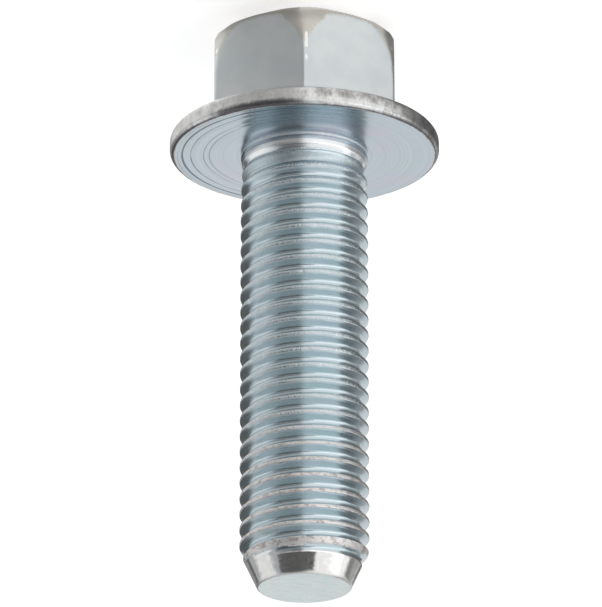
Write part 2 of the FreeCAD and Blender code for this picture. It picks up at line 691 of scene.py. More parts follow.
    def knocked(self, radius: float, height: float, turn: float) -> Point:
        """Knock the dings into the upright corners.

        Args:
            radius: Reach of the unharmed surface.
            height: Height above the crown's flat.
            turn: Angle about the axis.

        Returns:
            The reach that is left, and how bare the metal is, from 0 to 1.
        """
        bare = 0.0
        for corner, middle, length, depth in self.dings:
            aside = turned_apart(turn, corner) / self.ding_half_angle
            along = abs(height - middle) / length
            hit = max(1.0 - aside**2, 0.0) * max(1.0 - along**2, 0.0)
            radius -= depth * hit
            bare = max(bare, min(self.ding_bareness * hit, 1.0))
        return radius, bare

    def region_of(self, radius: float, height: float) -> Region:
        """Return the region of a turned point.

        Args:
            radius: Its distance from the axis.
            height: Its height above the crown's flat.

        Returns:
            The region.
        """
        if height > BEARING_HEIGHT - TOUCHING and radius < self.neck_radius + self.neck_margin:
            return Region.SHANK
        on_face = radius < self.flange_radius - self.rim_share * self.rim_bearing_radius
        if on_face and height > BEARING_HEIGHT - self.rim_bearing_radius / 4.0:
            return Region.BEARING
        return Region.RIM

    def soil_and_shade_at(self, turn: float, depth: float) -> float:
        """Return how soiled the rim is, with its painted shade.

        Args:
            turn: Angle about the axis.
            depth: Distance below the bearing face.

        Returns:
            The soil and painted shade, from 0 to 1.
        """
        darkening = (1.0 - smooth_step(*self.stain_fade, depth)) * self.patch_at(self.stains, turn)
        line = 1.0 - smooth_step(*self.line_fade, depth)
        grime_and_shade = smooth_step(*self.grime_and_shade_fade, depth) * self.patch_at(self.grime_and_shade, turn)
        return float(max(darkening, line, grime_and_shade, self.patch_at(self.painted_shades, turn)))

    def patch_at(self, patches: tuple[Triple, ...], turn: float) -> float:
        """Return the strongest patch at an angle about the axis, from 0 to 1."""
        near = [peak * (1.0 - (turned_apart(turn, middle) / width) ** 4) for middle, width, peak in patches]
        return max(self.least_soil, *near)


@dataclass
class RolledThread:
    """Right-hand thread that fades in at the neck's waist and runs out on the point's cone."""

    pitch: float = 1.25
    major_radius: float = 4.885
    crest_height: float = 11.13
    # Crest: height from its middle and radius
    crest: tuple[Point, ...] = (
        (-0.22, 4.68),
        (-0.145, 4.838),
        (-0.107, 4.871),
        (-0.07, 4.883),
        (0.0, 4.885),
        (0.07, 4.883),
        (0.107, 4.871),
        (0.145, 4.838),
        (0.28, 4.606),
    )
    crest_band: Point = (0.05, 0.012)
    # Root, whose middle sits a little towards the point, with a rounding on each side of it
    root_radius: float = 4.27
    root_shift: float = 0.11
    tip_rounding: float = 0.4
    head_rounding: float = 0.25
    tip_leans: tuple[float, ...] = (50.0, 37.0, 24.0, 12.0, 0.0)
    head_leans: tuple[float, ...] = (0.0, 22.0, 44.0, 66.0)
    # Start at the neck, where the crest is lower and the root is higher
    fade_length: float = 0.1
    low_crest: float = 0.14
    crest_rise: float = 1.5
    high_root: float = 0.24
    root_drop: float = 1.3
    # Run-out on the point's cone
    cone_blend: float = 0.06
    cone_margin: float = 0.03
    cone_wear: float = 0.8
    point_start: float = 43.8
    # Crests spread and worn by the rolling towards the point
    crest_spread: float = 0.01
    spread_reach: float = 0.5
    spread_start: float = 30.0
    spread_end: float = 41.0
    least_wear: float = 0.32
    # Roughness of the crests and the nicks in them
    seed: int = 7
    unevenness: float = 0.006
    least_unevenness: float = 0.5
    nick_count: int = 300
    nick_depth: float = 0.035
    nick_shares: Point = (0.2, 1.0)
    nick_bareness: float = 0.8

    def one_pitch(self) -> list[Point]:
        """Draw one pitch from root to root.

        Returns:
            Height from the crest's middle, and radius, of each point.
        """
        head_root, tip_root = self.root_shift - self.pitch / 2.0, self.root_shift + self.pitch / 2.0
        before = [self.root_point(head_root, lean, self.head_rounding) for lean in self.head_leans]
        after = [self.root_point(tip_root, -lean, self.tip_rounding) for lean in self.tip_leans]
        return before + list(self.crest) + after

    def root_point(self, middle: float, lean: float, rounding: float) -> Point:
        """Return a point of a root's rounding.

        Args:
            middle: Height of the root's middle from the crest's.
            lean: Angle of the point on the rounding, from the root's middle.
            rounding: Radius of the rounding.

        Returns:
            Height from the crest's middle, and radius.
        """
        bend = math.radians(lean)
        return middle + rounding * math.sin(bend), self.root_radius + rounding * (1.0 - math.cos(bend))

    def sweep(self) -> bpy.types.Object:
        """Sweep one pitch into a thread that reaches past both its ends.

        Returns:
            The swept object.
        """
        first = self.crest_height - 2.0 * self.pitch
        profile = [(radius, first + offset) for offset, radius in self.one_pitch()]
        thread = draw_profile("thread_sweep", profile)
        screw = thread.modifiers.new("sweep", "SCREW")
        screw.axis = "Z"
        screw.angle = 2.0 * math.pi
        screw.screw_offset = self.pitch * MM
        screw.iterations = math.ceil((CONE_SEAM_HEIGHT - first) / self.pitch) + 2
        screw.steps = COLUMNS
        screw.render_steps = COLUMNS
        screw.use_merge_vertices = False
        activate(thread)
        bpy.ops.object.modifier_apply(modifier="sweep")
        return thread

    def build(self) -> bpy.types.Object:
        """Sweep the thread and shape its two ends.

        Returns:
            The thread's shell, open at both ends.
        """
        thread = self.sweep()
        points = read_points(thread) / MM
        rows = read_marks(thread, "row", np.int32)
        offset, radius = (np.array(part)[rows] for part in zip(*self.one_pitch()))
        column = np.round(np.degrees(np.arctan2(points[:, 1], points[:, 0])) / COLUMN_STEP)
        turn = np.radians(column * COLUMN_STEP)
        crest = smooth_step(*(self.major_radius - gap for gap in self.crest_band), radius)
        height = self.spread_crests(points[:, 2], offset)
        radius, rubbed = self.nicked(radius, height, points[:, 2] - offset, crest)
        height = np.clip(height, WAIST_HEIGHT, CONE_SEAM_HEIGHT)
        radius = self.envelope(radius, height)
        radius[height <= WAIST_HEIGHT + TOUCHING] = WAIST_RADIUS
        radius[height >= CONE_SEAM_HEIGHT - TOUCHING] = cone_radius(CONE_SEAM_HEIGHT)
        write_points(thread, np.stack([radius * np.cos(turn), radius * np.sin(turn), height], axis=1) * MM)
        cut = radius > cone_radius(height) - self.cone_margin
        on_cone = cut & (height > self.point_start)
        worn = crest * (self.least_wear + (1.0 - self.least_wear) * self.towards_point(height))
        mark_points(thread, "worn", np.where(on_cone, 0.0, np.maximum(worn, self.cone_wear * cut)))
        mark_points(thread, "rubbed", rubbed)
        mark_points(thread, "region", np.where(on_cone, Region.POINT.value, Region.SHANK.value))
        return thread

    def towards_point(self, height: np.ndarray) -> np.ndarray:
        """Return how far the spreading of the crests has gone at a height, from 0 to 1."""
        return smooth_step(self.spread_start, self.spread_end, height)

    def spread_crests(self, height: np.ndarray, offset: np.ndarray) -> np.ndarray:
        """Spread the crests towards the point, where the rolling left them broader.

        Args:
            height: Height on the bolt.
            offset: Distance along the axis from the crest's middle.

        Returns:
            The new heights.
        """
        share = smooth_step(0.0, self.spread_reach, self.spread_reach - np.abs(offset))
        return height + np.sign(offset) * self.crest_spread * self.towards_point(height) * share

    def nicked(
        self, radius: np.ndarray, height: np.ndarray, middle: np.ndarray, crest: np.ndarray
    ) -> tuple[np.ndarray, np.ndarray]:
        """Roughen the crests and knock small nicks into them.

        Args:
            radius: Radius on the full thread.
            height: Height on the bolt.
            middle: Height of the crest's middle at this angle.
            crest: How near the point is to the crest, from 0 to 1.

        Returns:
            The new radii, and how bare the metal is, from 0 to 1.
        """
        chance = np.random.default_rng(self.seed)
        column = np.round((middle - self.crest_height) / self.pitch * COLUMNS).astype(int)
        place = column - column.min()
        count = place.max() + 1
        rough = np.convolve(chance.normal(0.0, 1.0, count), np.ones(3) / 3.0, mode="same")
        depth = np.zeros(count)
        for spot in chance.integers(0, count, self.nick_count):
            depth[spot] = max(depth[spot], chance.uniform(*self.nick_shares))
        uneven = self.unevenness * rough[place] * (self.least_unevenness + self.towards_point(height))
        nicked = radius + crest * (uneven - self.nick_depth * depth[place])
        return nicked, self.nick_bareness * crest * depth[place] ** 2

    def envelope(self, radius: np.ndarray, height: np.ndarray) -> np.ndarray:
        """Fade the thread in at the neck and cut it off at the point's cone.

        Args:
            radius: Radius on the full thread.
            height: Height on the bolt.

        Returns:
            The radius of the real surface.
        """
        past_start = np.clip(height - WAIST_HEIGHT, 0.0, None)
        crest = self.major_radius - self.low_crest * np.exp(-past_start / self.crest_rise)
        root = self.root_radius + self.high_root * np.exp(-past_start / self.root_drop)
        share = (radius - self.root_radius) / (self.major_radius - self.root_radius)
        depth = 1.0 - np.exp(-past_start / self.fade_length)
        faded = WAIST_RADIUS + (root + (crest - root) * share - WAIST_RADIUS) * depth
        cone = cone_radius(height)
        gap = np.clip(0.5 + 0.5 * (cone - faded) / self.cone_blend, 0.0, 1.0)
        return cone + (faded - cone) * gap - self.cone_blend * gap * (1.0 - gap)


@dataclass
class ConedPoint:
    """Smooth end of the point's cone, its rounded edge and the flat end face."""

    edge_rounding: float = 0.16
    edge_start: float = 0.9
    cone_shares: tuple[float, ...] = (0.0, 0.5)
    edge_shares: tuple[float, ...] = (0.0, 0.25, 0.5, 0.75, 1.0)
    end_shares: tuple[float, ...] = (0.75, 0.4, 0.0)

    def profile(self) -> list[Point]:
        """Draw the profile from the thread's run-out to the middle of the end face.

        Returns:
            Radius and height of each point.
        """
        edge = self.edge_rounding
        start = (cone_radius(CONE_SEAM_HEIGHT), CONE_SEAM_HEIGHT)
        before = (cone_radius(TIP_HEIGHT - edge), TIP_HEIGHT - edge)
        corner = (TIP_RADIUS, TIP_HEIGHT)
        after = (TIP_RADIUS - edge, TIP_HEIGHT)
        cone = [tuple(a + (b - a) * share for a, b in zip(start, before)) for share in self.cone_shares]
        turned = [rounded(before, corner, after, share) for share in self.edge_shares]
        return cone + turned + [(TIP_RADIUS * share, TIP_HEIGHT) for share in self.end_shares]

    def build(self) -> bpy.types.Object:
        """Turn the end of the point.

        Returns:
            The point's shell, open towards the thread.
        """
        point = draw_profile("point_blank", self.profile())
        spin_profile(point)
        across, along, heights = read_points(point).T / MM
        radii = np.hypot(across, along)
        edge = self.edge_rounding
        on_end = (radii < TIP_RADIUS - edge / 2.0) & (heights > TIP_HEIGHT - edge / 4.0)
        near_edge = radii >= self.edge_start * TIP_RADIUS
        mark_points(point, "worn", smooth_step(TIP_HEIGHT - 2.0 * edge, TIP_HEIGHT, heights) * near_edge)
        mark_points(point, "rubbed", np.zeros(len(radii)))
        mark_points(point, "region", np.where(on_end, Region.END.value, Region.POINT.value))
        return point


@dataclass
class FlangeBolt:
    """The whole bolt as one closed mesh."""

    head: ForgedHead
    thread: RolledThread
    point: ConedPoint
    smoothed_angle: float = 50.0

    def build(self) -> bpy.types.Object:
        """Join the head, thread and point into one closed surface.

        Returns:
            The bolt's object.
        """
        shells = [self.head.build(), self.thread.build(), self.point.build()]
        activate(shells[0])
        for shell in shells:
            shell.select_set(True)
        bpy.ops.object.join()
        bolt = bpy.context.object
        bolt.name = "bolt"
        edit_whole()
        bpy.ops.mesh.remove_doubles(threshold=2.0 * COINCIDENT)
        bpy.ops.mesh.select_all(action="SELECT")
        bpy.ops.mesh.dissolve_degenerate(threshold=COINCIDENT)
        bpy.ops.mesh.select_all(action="SELECT")
        bpy.ops.mesh.normals_make_consistent(inside=False)
        bpy.ops.object.mode_set(mode="OBJECT")
        bpy.ops.object.shade_smooth_by_angle(angle=math.radians(self.smoothed_angle))
        return bolt

    def dress(self, bolt: bpy.types.Object, finishes: "Finishes") -> None:
        """Give each region of the surface its finish.

        Args:
            bolt: The bolt's object.
            finishes: The finish of each region.
        """
        for region in Region:
            bolt.data.materials.append(finishes.of(region).material())
        corners = np.zeros(len(bolt.data.loops), dtype=np.int32)
        bolt.data.loops.foreach_get("vertex_index", corners)
        starts = np.zeros(len(bolt.data.polygons), dtype=np.int32)
        bolt.data.polygons.foreach_get("loop_start", starts)
        regions = read_marks(bolt, "region")[corners]
        highest, lowest = np.maximum.reduceat(regions, starts), np.minimum.reduceat(regions, starts)
        at_neck = (highest == Region.SHANK.value) & (lowest < Region.SHANK.value)
        chosen = np.where(at_neck, highest, lowest)
        bolt.data.polygons.foreach_set("material_index", np.round(chosen).astype(np.int32))
        bolt.data.update()


class Wiring:
    """Short calls for the nodes of a material or a world."""

    def __init__(self, owner: "bpy.types.Material | bpy.types.World") -> None:
        """Start with no nodes.

        Args:
            owner: The material or world.
        """
        owner.use_nodes = True
        self.tree = owner.node_tree
        self.tree.nodes.clear()

    def result(self, kind: str, output: "str | int", values: dict, **settings: str) -> Socket:
        """Add a node and feed its inputs.

        Args:
            kind: The kind of node.
            output: Name or number of the output that is wanted.
            values: A socket, number or colour for each input that is fed, by the input's name or number.
            **settings: The node's own settings.

        Returns:
            The output's socket.
        """
        node = self.tree.nodes.new(kind)
        for name, setting in settings.items():
            setattr(node, name, setting)
        for name, value in values.items():
            target = node.inputs[name]
            if isinstance(value, Socket):
                self.tree.links.new(value, target)
            elif isinstance(value, tuple) and len(target.default_value) == 4:
                target.default_value = (*value, 1.0)
            else:
                target.default_value = value
        return node.outputs[output]

    def combine(self, operation: str, *values: Source) -> Socket:
        """Combine numbers by one operation of the Math node."""
        return self.result("ShaderNodeMath", "Value", dict(enumerate(values)), operation=operation)

    def show(self, kind: str, surface: Socket) -> None:
        """Lead a shader to the output.

        Args:
            kind: The kind of output node.
            surface: The shader's socket.
        """
        self.tree.links.new(surface, self.tree.nodes.new(kind).inputs["Surface"])


class Plating(Wiring):
    """Metal of one finish, with patterns in millimetres on the bolt's own coordinates."""

    def __init__(self, name: str) -> None:
        """Start a bare metal.

        Args:
            name: Name of the material.
        """
        self.material = bpy.data.materials.new(name)
        super().__init__(self.material)
        coordinates = self.result("ShaderNodeTexCoord", "Object", {})
        values = {"Vector": coordinates, "Scale": (1.0 / MM, 1.0 / MM, 1.0 / MM)}
        self.place = self.result("ShaderNodeMapping", "Vector", values)
        self.normal = None

    def stretched(self, scale: Triple, shift: float = 0.0) -> Socket:
        """Scale the place on the bolt along each axis, and shift it."""
        values = {0: self.place, 1: scale, 2: (shift, shift, shift)}
        return self.result("ShaderNodeVectorMath", "Vector", values, operation="MULTIPLY_ADD")

    def reach(self, scale: Triple) -> Socket:
        """Measure the distance to the origin, where an axis with the scale 0 doesn't count."""
        return self.result("ShaderNodeVectorMath", "Value", {0: self.stretched(scale)}, operation="LENGTH")

    def from_axis(self) -> Socket:
        """Return the distance from the bolt's axis."""
        return self.reach((1.0, 1.0, 0.0))

    def height(self) -> Socket:
        """Return the height above the crown's flat."""
        return self.reach((0.0, 0.0, 1.0))

    def noise(
        self, scale: "float | Triple", detail: float = 2.0, roughness: float = 0.5, shift: float = 0.0
    ) -> Socket:
        """Read noise at the place on the bolt.

        Args:
            scale: Waves for each millimetre, or one such number for each axis.
            detail: How many finer layers the noise has.
            roughness: How strong the finer layers are.
            shift: Distance to another part of the noise.

        Returns:
            The noise's socket, between 0 and 1.
        """
        waves = scale if isinstance(scale, tuple) else (scale, scale, scale)
        return self.noise_at(self.stretched(waves, shift), detail, roughness)

    def noise_at(self, vector: Socket, detail: float, roughness: float) -> Socket:
        """Read noise at a vector, with a number of finer layers and their strength."""
        values = {"Vector": vector, "Scale": 1.0, "Detail": detail, "Roughness": roughness}
        return self.result("ShaderNodeTexNoise", "Fac", values)

    def noise_along(self, value: Socket, scale: float, detail: float, roughness: float) -> Socket:
        """Read noise that changes with one number alone.

        Args:
            value: The number.
            scale: Waves for each unit of the number.
            detail: How many finer layers the noise has.
            roughness: How strong the finer layers are.

        Returns:
            The noise's socket, between 0 and 1.
        """
        vector = self.result("ShaderNodeCombineXYZ", "Vector", {"X": self.combine("MULTIPLY", value, scale)})
        return self.noise_at(vector, detail, roughness)

    def mark(self, name: str) -> Socket:
        """Read a number that the mesh keeps for its vertices."""
        return self.result("ShaderNodeAttribute", "Fac", {}, attribute_name=name)

    def spread(self, value: Socket, low: float, high: float, start: float = 0.0, end: float = 1.0) -> Socket:
        """Pass smoothly from start to end as a value goes from low to high.

        Args:
            value: The number that is read.
            low: Where the passage starts.
            high: Where it ends.
            start: What low gives.
            end: What high gives.

        Returns:
            The new number's socket.
        """
        values = {"Value": value, "From Min": low, "From Max": high, "To Min": start, "To Max": end}
        return self.result("ShaderNodeMapRange", "Result", values, interpolation_type="SMOOTHSTEP")

    def blend(self, share: Socket, first: Source, second: Source) -> Socket:
        """Blend two colours, from the first at a share of 0 to the second at 1."""
        return self.result("ShaderNodeMix", 2, {0: share, 6: first, 7: second}, data_type="RGBA")

    def between(self, share: Socket, first: Source, second: Source) -> Socket:
        """Blend two numbers, from the first at a share of 0 to the second at 1."""
        return self.result("ShaderNodeMix", 0, {0: share, 2: first, 3: second})

    def raise_by(self, height: Socket, depth: float, strength: float) -> None:
        """Add relief to the surface.

        Args:
            height: The relief, from 0 to 1.
            depth: How high 1 stands, in millimetres.
            strength: Share of the relief that is used.
        """
        values = {"Height": height, "Distance": depth * MM, "Strength": strength}
        if self.normal is not None:
            values["Normal"] = self.normal
        self.normal = self.result("ShaderNodeBump", "Normal", values)

    def finish(self, colour: Socket, roughness: Socket) -> bpy.types.Material:
        """Make the metal of its colour, roughness and relief.

        Args:
            colour: The surface's colour.
            roughness: Its roughness.

        Returns:
            The finished material.
        """
        values = {"Base Color": colour, "Metallic": 1.0, "Roughness": roughness, "Normal": self.normal}
        self.show("ShaderNodeOutputMaterial", self.result("ShaderNodeBsdfPrincipled", "BSDF", values))
        return self.material


@dataclass(frozen=True)
class HexagonFinish:
    """Satin plating of the forged sides, worn beige and rough at the crown and the corners."""

    colour: Triple = (0.67, 0.715, 0.735)
    cloud: Triple = (0.62, 0.675, 0.70)
    worn: Triple = (0.62, 0.61, 0.57)
    crown: Triple = (0.47, 0.46, 0.43)
    crown_band: Point = (1.9, 2.9)
    pit: Triple = (0.3, 0.29, 0.27)
    bare: Triple = (0.93, 0.93, 0.91)
    roughness: Point = (0.3, 0.38)
    worn_roughness: float = 0.44

    def material(self) -> bpy.types.Material:
        """Return the node material."""
        plating = Plating("hexagon_plating")
        clouds = plating.spread(plating.noise(0.5, 4.0), 0.35, 0.65)
        colour = plating.blend(clouds, self.colour, self.cloud)
        speckle = plating.noise(9.0, 3.0, 0.7)
        edge = plating.combine("ADD", plating.mark("worn"), plating.spread(speckle, 0.3, 0.7, -0.15, 0.15))
        worn = plating.spread(edge, 0.2, 0.8)
        dull = plating.blend(plating.spread(plating.height(), *self.crown_band), self.crown, self.worn)
        colour = plating.blend(worn, colour, dull)
        pits = plating.combine("MULTIPLY", plating.spread(speckle, 0.62, 0.72, 0.0, 0.35), worn)
        colour = plating.blend(pits, colour, self.pit)
        colour = plating.blend(plating.spread(plating.mark("rubbed"), 0.25, 0.7), colour, self.bare)
        satin = plating.spread(speckle, 0.3, 0.7, *self.roughness)
        plating.raise_by(plating.noise(6.0, 3.0), 0.012, 0.5)
        return plating.finish(colour, plating.between(worn, satin, self.worn_roughness))


@dataclass(frozen=True)
class RimFinish:
    """Rough trimmed rim with upright grain, mottled and stained near the bearing face, and darkened by
    painted shade.
    """

    colour: Triple = (0.82, 0.835, 0.84)
    dull: Triple = (0.59, 0.59, 0.58)
    # Colour of the stains and the dark line, and of the grime and painted shade
    darkening: Triple = (0.18, 0.175, 0.185)
    roughness: Point = (0.3, 0.44)

    def material(self) -> bpy.types.Material:
        """Return the node material."""
        plating = Plating("rim_plating")
        grain = plating.noise((4.6, 4.6, 3.4), 4.0, 0.65)
        patches = plating.noise((1.1, 1.1, 0.9), 4.0, 0.6)
        mottle = plating.spread(plating.combine("ADD", grain, patches), 0.72, 1.36)
        colour = plating.blend(mottle, self.colour, self.dull)
        uneven = plating.combine("MULTIPLY", grain, 0.34)
        # The worn mark holds stains, grime and painted shade
        stain_and_shade = plating.combine("MULTIPLY_ADD", plating.mark("worn"), 0.9, uneven)
        stain_and_shade = plating.combine("ADD", stain_and_shade, plating.spread(patches, 0.35, 0.65, -0.07, 0.07))
        colour = plating.blend(plating.spread(stain_and_shade, 0.44, 1.05), colour, self.darkening)
        plating.raise_by(grain, 0.02, 0.5)
        plating.raise_by(patches, 0.05, 0.5)
        return plating.finish(colour, plating.spread(mottle, 0.0, 1.0, *self.roughness))


@dataclass(frozen=True)
class BearingFinish:
    """Faintly blue bearing face with fine turned rings, hints of lilac and green, and painted shade in its
    grooves.
    """

    colour: Triple = (0.565, 0.645, 0.70)
    lilac: Triple = (0.61, 0.615, 0.68)
    green: Triple = (0.555, 0.655, 0.675)
    dust: Triple = (0.5, 0.54, 0.58)
    ring: Triple = (0.49, 0.555, 0.61)
    groove_shade: Triple = (0.12, 0.15, 0.18)
    roughness: Point = (0.17, 0.26)

    def material(self) -> bpy.types.Material:
        """Return the node material."""
        plating = Plating("bearing_plating")
        rings = plating.noise_along(plating.from_axis(), 3.6, 4.0, 0.8)
        hue = plating.noise(0.28, shift=3.0)
        fine = plating.noise(3.5, 4.0, 0.65)
        colour = plating.blend(plating.spread(hue, 0.5, 0.68), self.colour, self.lilac)
        colour = plating.blend(plating.spread(hue, 0.44, 0.32), colour, self.green)
        colour = plating.blend(plating.spread(fine, 0.5, 0.75, 0.0, 0.3), colour, self.dust)
        colour = plating.blend(plating.spread(rings, 0.42, 0.62, 0.0, 0.5), colour, self.ring)
        # Painted shade in the grooves, broken by the hue
        groove_shade_share = plating.combine("MULTIPLY", plating.mark("worn"), plating.spread(hue, 0.3, 0.55, 0.7, 1.0))
        colour = plating.blend(plating.spread(groove_shade_share, 0.4, 1.05), colour, self.groove_shade)
        plating.raise_by(rings, 0.012, 0.6)
        plating.raise_by(fine, 0.006, 0.4)
        return plating.finish(colour, plating.spread(rings, 0.3, 0.7, *self.roughness))


@dataclass(frozen=True)
class ShankFinish:
    """Rolled plating with drawn lines round the shank, rough crests of a warmer grey, and a painted highlight
    on the collar.
    """

    colour: Triple = (0.61, 0.70, 0.75)
    cloud: Triple = (0.57, 0.68, 0.72)
    # Paler colour of the collar, a painted highlight
    collar: Triple = (0.92, 0.95, 0.97)
    collar_highlight_band: Point = (11.7, 12.2)
    crest: Triple = (0.86, 0.84, 0.835)
    soiled: Triple = (0.5, 0.465, 0.45)
    soil_band: Point = (30.0, 41.0)
    least_soil: float = 0.4
    bare: Triple = (0.86, 0.87, 0.87)
    roughness: Point = (0.16, 0.26)
    neck_roughness: float = 0.4
    neck_band: Point = (10.75, 10.95)
    run_in: float = 12.55
    run_in_roughness: float = 0.3
    crest_roughness: float = 0.44

    def material(self) -> bpy.types.Material:
        """Return the node material."""
        plating = Plating("shank_plating")
        clouds = plating.spread(plating.noise(0.5, 3.0), 0.35, 0.65)
        lines = plating.noise((0.35, 0.35, 11.0), 3.0, 0.6)
        grit = plating.noise(7.0, 3.0, 0.7)
        worn = plating.combine("ADD", plating.mark("worn"), plating.spread(grit, 0.3, 0.7, -0.2, 0.2))
        worn = plating.spread(worn, 0.15, 0.9)
        colour = plating.blend(clouds, self.colour, self.cloud)
        # Painted highlight on the collar, fading out along the thread
        colour = plating.blend(plating.spread(plating.height(), *self.collar_highlight_band), self.collar, colour)
        soil = plating.spread(plating.noise((1.6, 1.6, 2.6), 4.0, 0.75), 0.46, 0.64)
        towards_point = plating.spread(plating.height(), *self.soil_band, self.least_soil, 1.0)
        soil = plating.combine("MULTIPLY", soil, towards_point)
        colour = plating.blend(worn, colour, plating.blend(soil, self.crest, self.soiled))
        aside = plating.combine("ABSOLUTE", plating.combine("SUBTRACT", plating.height(), self.run_in))
        teeth = plating.spread(aside, 0.15, 0.5, 1.0, 0.0)
        specks = plating.combine("MULTIPLY", teeth, plating.spread(grit, 0.52, 0.68))
        rubbed = plating.combine("MAXIMUM", plating.mark("rubbed"), specks)
        colour = plating.blend(plating.spread(rubbed, 0.2, 0.8), colour, self.bare)
        smooth = plating.spread(lines, 0.3, 0.7, *self.roughness)
        past_neck = plating.spread(plating.height(), *self.neck_band)
        smooth = plating.between(past_neck, self.neck_roughness, smooth)
        smooth = plating.between(teeth, smooth, self.run_in_roughness)
        gritty = plating.combine("MULTIPLY", grit, plating.combine("MAXIMUM", worn, teeth))
        plating.raise_by(lines, 0.01, 0.5)
        plating.raise_by(gritty, 0.05, 0.7)
        return plating.finish(colour, plating.between(worn, smooth, self.crest_roughness))


@dataclass(frozen=True)
class PointFinish:
    """Bright pressed cone of the point, a little orange-peeled, dull at its edge."""

    colour: Triple = (0.86, 0.855, 0.84)
    cloud: Triple = (0.79, 0.785, 0.775)
    roughness: Point = (0.09, 0.17)
    edge_roughness: float = 0.4

    def material(self) -> bpy.types.Material:
        """Return the node material."""
        plating = Plating("point_plating")
        peel = plating.noise(2.6, 3.0, 0.6)
        grit = plating.noise(9.0)
        colour = plating.blend(plating.spread(peel, 0.35, 0.65), self.colour, self.cloud)
        worn = plating.spread(plating.mark("worn"), 0.1, 1.0)
        bright = plating.spread(grit, 0.3, 0.7, *self.roughness)
        plating.raise_by(peel, 0.014, 0.6)
        plating.raise_by(grit, 0.004, 0.4)
        return plating.finish(colour, plating.between(worn, bright, self.edge_roughness))


@dataclass(frozen=True)
class EndFinish:
    """Pale flat end of the point, matt with faint scratches."""

    colour: Triple = (0.68, 0.78, 0.80)
    cloud: Triple = (0.73, 0.79, 0.78)
    roughness: Point = (0.24, 0.4)

    def material(self) -> bpy.types.Material:
        """Return the node material."""
        plating = Plating("end_plating")
        clouds = plating.spread(plating.noise(0.9, 4.0, 0.6), 0.35, 0.65)
        scratches = plating.noise((1.2, 14.0, 1.0), 3.0, 0.6)
        plating.raise_by(scratches, 0.008, 0.5)
        roughness = plating.spread(scratches, 0.3, 0.7, *self.roughness)
        return plating.finish(plating.blend(clouds, self.colour, self.cloud), roughness)


Finish = HexagonFinish | RimFinish | BearingFinish | ShankFinish | PointFinish | EndFinish


@dataclass(frozen=True)
class Finishes:
    """The finish of each region."""

    hexagon: HexagonFinish = HexagonFinish()
    rim: RimFinish = RimFinish()
    bearing: BearingFinish = BearingFinish()
    shank: ShankFinish = ShankFinish()
    point: PointFinish = PointFinish()
    end: EndFinish = EndFinish()

    def of(self, region: Region) -> Finish:
        """Return a region's finish.

        Args:
            region: The region.

        Returns:
            Its finish.
        """
        return {
            Region.HEXAGON: self.hexagon,
            Region.RIM: self.rim,
            Region.BEARING: self.bearing,
            Region.SHANK: self.shank,
            Region.POINT: self.point,
            Region.END: self.end,
        }[region]


def glowing_material(name: str, level: float, tint: Triple) -> bpy.types.Material:
    """Make a material that gives off even light.

    Args:
        name: Name of the material.
        level: Strength of the light, where 1 shows as white.
        tint: Colour of the light.

    Returns:
        The new material.
    """
    material = bpy.data.materials.new(name)
    wiring = Wiring(material)
    light = wiring.result("ShaderNodeEmission", "Emission", {"Color": tint, "Strength": level})
    wiring.show("ShaderNodeOutputMaterial", light)
    return material


def heading(azimuth: float, elevation: float) -> Vector:
    """Return the direction from the bolt towards a place in the studio.

    Args:
        azimuth: Degrees round the axis from the camera's side, towards the picture's right.
        elevation: Degrees above the floor.

    Returns:
        A vector of length one.
    """
    turn, lift = math.radians(azimuth), math.radians(elevation)
    return Vector((-math.sin(turn) * math.cos(lift), -math.cos(turn) * math.cos(lift), math.sin(lift)))


def along_range(ends: Point, place: float) -> float:
    """Return the value of a range at a place on a grid of size one about the origin."""
    return ends[0] + (ends[1] - ends[0]) * (place + 0.5)


@dataclass
class Panel:
    """A curved panel of the studio that the plating mirrors and the camera doesn't see, in metres."""

    name: str
    azimuths: Point
    elevations: Point
    level: float
    tint: Triple = (1.0, 1.0, 1.0)
    distance: float = 0.8
    centre_height: float = 0.025
    steps: int = 6

    def build(self) -> None:
        """Bend a flat grid into the panel's stretch of a sphere round the bolt."""
        deselect_all()
        bpy.ops.mesh.primitive_grid_add(x_subdivisions=self.steps, y_subdivisions=self.steps, size=1.0)
        panel = bpy.context.object
        panel.name = self.name
        points = read_points(panel)
        for index, (across, up, _) in enumerate(points):
            towards = heading(along_range(self.azimuths, across), along_range(self.elevations, up))
            points[index] = towards * self.distance
        points[:, 2] += self.centre_height
        write_points(panel, points)
        panel.data.materials.append(glowing_material(self.name, self.level, self.tint))
        panel.visible_camera = False
        panel.visible_shadow = False


@dataclass
class Paper:
    """A wedge of grey paper on the floor, from under the bolt, that only the plating mirrors, in metres."""

    name: str
    azimuths: Point
    level: float
    length: float = 0.8
    lift: float = 0.0003
    tint: Triple = (1.0, 0.98, 0.96)
    start: float = 0.002
    steps: int = 6

    def build(self) -> None:
        """Pull a flat grid into the wedge."""
        deselect_all()
        bpy.ops.mesh.primitive_grid_add(x_subdivisions=self.steps, y_subdivisions=1, size=1.0)
        paper = bpy.context.object
        paper.name = self.name
        points = read_points(paper)
        for index, (across, out, _) in enumerate(points):
            towards = heading(along_range(self.azimuths, across), 0.0)
            points[index] = towards * (self.start + self.length * (out + 0.5))
        points[:, 2] = self.lift
        write_points(paper, points)
        paper.data.materials.append(glowing_material(self.name, self.level, self.tint))
        paper.visible_camera = False
        paper.visible_diffuse = False
        paper.visible_shadow = False


